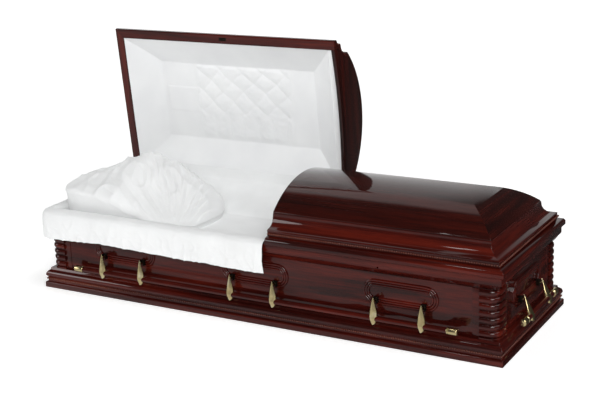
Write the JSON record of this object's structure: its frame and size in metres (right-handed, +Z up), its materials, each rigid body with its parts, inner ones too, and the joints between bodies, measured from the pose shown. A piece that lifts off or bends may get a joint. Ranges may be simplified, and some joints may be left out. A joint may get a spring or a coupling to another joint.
{
  "type": "funeral casket",
  "caption": "Half-couch hardwood funeral casket with a vaulted lid in two parts, the head lid open, white cloth lining and swing-bar handles on every side.",
  "frame": {"origin": "middle of the flat underside, on the floor", "axes": "+X along the casket towards the foot end, +Y towards the hinges at the back, +Z up"},
  "size_m": [2.1666, 0.8867, 1.0288],
  "materials": {
    "cherry_wood": "high gloss dark cherry lacquer",
    "antique_brass": "antique brass, polished high spots",
    "dark_bronze": "dark bronze",
    "white_cloth": "matt white crepe"
  },
  "bodies": {
    "casket_body": {"back_ear_1": "antique_brass", "back_ear_2": "antique_brass", "back_ear_3": "antique_brass", "back_ear_4": "antique_brass", "back_ear_5": "antique_brass", "back_ear_6": "antique_brass", "back_wall": "cherry_wood", "body_lining": "white_cloth", "body_rim": "cherry_wood", "bottom_board": "cherry_wood", "foot_back_column": "cherry_wood", "foot_ear_1": "antique_brass", "foot_ear_2": "antique_brass", "foot_front_column": "cherry_wood", "foot_lid_hinge_body_leaf": "dark_bronze", "foot_wall": "cherry_wood", "front_ear_1": "antique_brass", "front_ear_2": "antique_brass", "front_ear_3": "antique_brass", "front_ear_4": "antique_brass", "front_ear_5": "antique_brass", "front_ear_6": "antique_brass", "front_wall": "cherry_wood", "head_back_column": "cherry_wood", "head_ear_1": "antique_brass", "head_ear_2": "antique_brass", "head_front_column": "cherry_wood", "head_lid_hinge_body_leaf": "dark_bronze", "head_wall": "cherry_wood", "mattress": "white_cloth", "pillow": "white_cloth", "plinth": "cherry_wood", "plinth_beads": "cherry_wood", "throw": "white_cloth"},
    "head_lid": {"head_lid_beads": "cherry_wood", "head_lid_crown": "cherry_wood", "head_lid_header": "cherry_wood", "head_lid_hinge_lid_leaf": "dark_bronze", "head_lid_lining": "white_cloth", "head_lid_rim": "cherry_wood", "latch_plate": "dark_bronze"},
    "foot_lid": {"foot_lid_beads": "cherry_wood", "foot_lid_crown": "cherry_wood", "foot_lid_header": "cherry_wood", "foot_lid_hinge_lid_leaf": "dark_bronze", "foot_lid_rim": "cherry_wood"},
    "front_handle": {"front_arm_1": "antique_brass", "front_arm_2": "antique_brass", "front_arm_3": "antique_brass", "front_arm_4": "antique_brass", "front_arm_5": "antique_brass", "front_arm_6": "antique_brass", "front_swing_bar": "cherry_wood"},
    "back_handle": {"back_swing_bar": "cherry_wood"},
    "head_handle": {"head_swing_bar": "cherry_wood"},
    "foot_handle": {"foot_arm_1": "antique_brass", "foot_arm_2": "antique_brass", "foot_swing_bar": "cherry_wood"}
  },
  "joints": [
    {"name": "head_lid_hinge", "type": "hinge", "parent": "casket_body", "child": "head_lid", "pos_m": [-0.49, 0.35, 0.33525], "axis": [1, 0, 0], "range_deg": [0, 84.5], "deforming": ["throw", "pillow"]},
    {"name": "foot_lid_hinge", "type": "hinge", "parent": "casket_body", "child": "foot_lid", "pos_m": [0.56, 0.35, 0.33525], "axis": [-1, 0, 0], "range_deg": [0, 84.5]},
    {"name": "front_bar_swing", "type": "hinge", "parent": "casket_body", "child": "front_handle", "pos_m": [0, -0.325, 0.174], "axis": [-1, 0, 0], "range_deg": [0, 75]},
    {"name": "back_bar_swing", "type": "hinge", "parent": "casket_body", "child": "back_handle", "pos_m": [0, 0.325, 0.174], "axis": [1, 0, 0], "range_deg": [0, 75]},
    {"name": "foot_bar_swing", "type": "hinge", "parent": "casket_body", "child": "foot_handle", "pos_m": [1.03, 0, 0.174], "axis": [0, -1, 0], "range_deg": [0, 57]},
    {"name": "head_bar_swing", "type": "hinge", "parent": "casket_body", "child": "head_handle", "pos_m": [-1.03, 0, 0.174], "axis": [0, 1, 0], "range_deg": [0, 57]}
  ]
}
